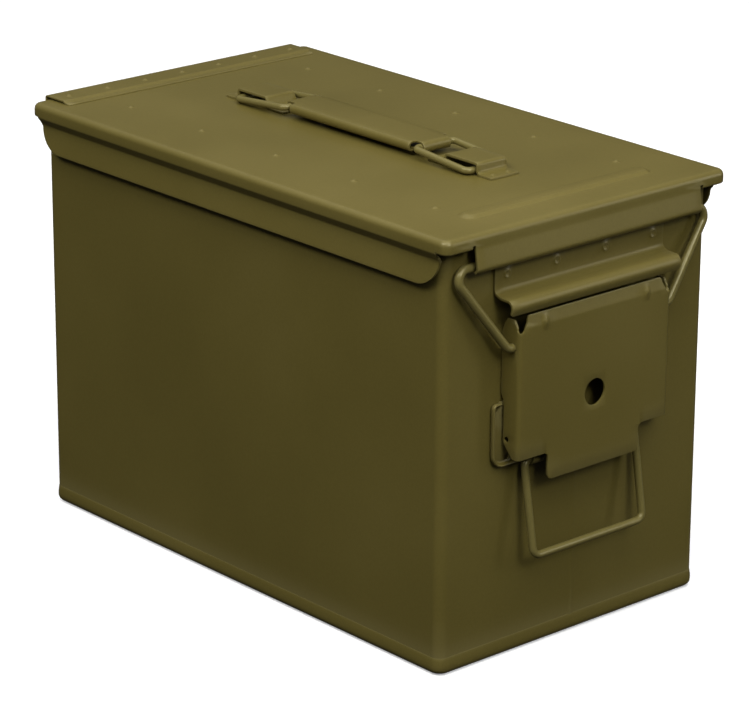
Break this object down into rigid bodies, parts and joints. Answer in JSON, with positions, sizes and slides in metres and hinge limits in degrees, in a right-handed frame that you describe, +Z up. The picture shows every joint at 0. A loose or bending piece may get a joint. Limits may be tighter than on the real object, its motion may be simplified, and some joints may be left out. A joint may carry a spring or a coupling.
{
  "type": "steel ammunition storage can",
  "caption": "Pressed-steel ammunition can with a hinged gasketed lid, over-centre front latch, drop handle on the lid and a wire carry handle on the latch end.",
  "frame": {"origin": "centre of the base, at floor level", "axes": "+Z up, length along Y with the latch end facing -Y and the lid hinge at +Y, width along X"},
  "size_m": [0.1862, 0.3257, 0.2292],
  "materials": {
    "olive_paint": "semi-gloss olive drab enamel",
    "seal_rubber": "matt black",
    "plated_pin": "dull zinc plate"
  },
  "bodies": {
    "body": {"body_shell": "olive_paint", "bottom_pan": "olive_paint", "latch_catch": "olive_paint", "lever_bracket": "olive_paint", "handle_loop_left": "olive_paint", "handle_loop_right": "olive_paint", "hinge_body_leaf": "olive_paint", "hinge_pin_left": "plated_pin", "hinge_pin_right": "plated_pin"},
    "lid": {"lid_shell": "olive_paint", "lid_gasket": "seal_rubber", "gasket_rail_left": "olive_paint", "gasket_rail_right": "olive_paint", "hinge_lid_leaf": "olive_paint", "handle_strap_front": "olive_paint", "handle_strap_rear": "olive_paint"},
    "grip": {"handle_grip": "olive_paint"},
    "ring_front": {"handle_ring_front": "olive_paint"},
    "ring_rear": {"handle_ring_rear": "olive_paint"},
    "lever": {"latch_lever": "olive_paint"},
    "bail": {"latch_bail": "olive_paint"},
    "carry_handle": {"front_handle": "olive_paint"}
  },
  "joints": [
    {"name": "lid_hinge", "type": "hinge", "parent": "body", "child": "lid", "pos_m": [0, 0.156, 0.207], "axis": [-1, 0, 0], "range_deg": [0, 115]},
    {"name": "handle_lift", "type": "slide", "parent": "lid", "child": "grip", "axis": [0, 0, 1], "range_m": [0, 0.022]},
    {"name": "ring_front_turn", "type": "hinge", "parent": "grip", "child": "ring_front", "pos_m": [0, -0.0495, 0.2262], "axis": [1, 0, 0], "range_deg": [0, 35.4]},
    {"name": "ring_rear_turn", "type": "hinge", "parent": "grip", "child": "ring_rear", "pos_m": [0, 0.0495, 0.2262], "axis": [-1, 0, 0], "range_deg": [0, 35.4]},
    {"name": "latch_swing", "type": "hinge", "parent": "body", "child": "lever", "pos_m": [0, -0.1635, 0.1766], "axis": [-1, 0, 0], "range_deg": [0, 75]},
    {"name": "bail_turn", "type": "hinge", "parent": "lever", "child": "bail", "pos_m": [0, -0.1605, 0.1608], "axis": [-1, 0, 0], "range_deg": [-51, 0]},
    {"name": "front_handle_swing", "type": "hinge", "parent": "body", "child": "carry_handle", "pos_m": [0, -0.1559, 0.1], "axis": [-1, 0, 0], "range_deg": [0, 85]}
  ],
  "couplings": [
    {"joint": "ring_front_turn", "follows": "handle_lift", "rad_per_m": 28},
    {"joint": "ring_rear_turn", "follows": "handle_lift", "rad_per_m": 28},
    {"joint": "bail_turn", "follows": "latch_swing", "ratio": -0.68}
  ]
}
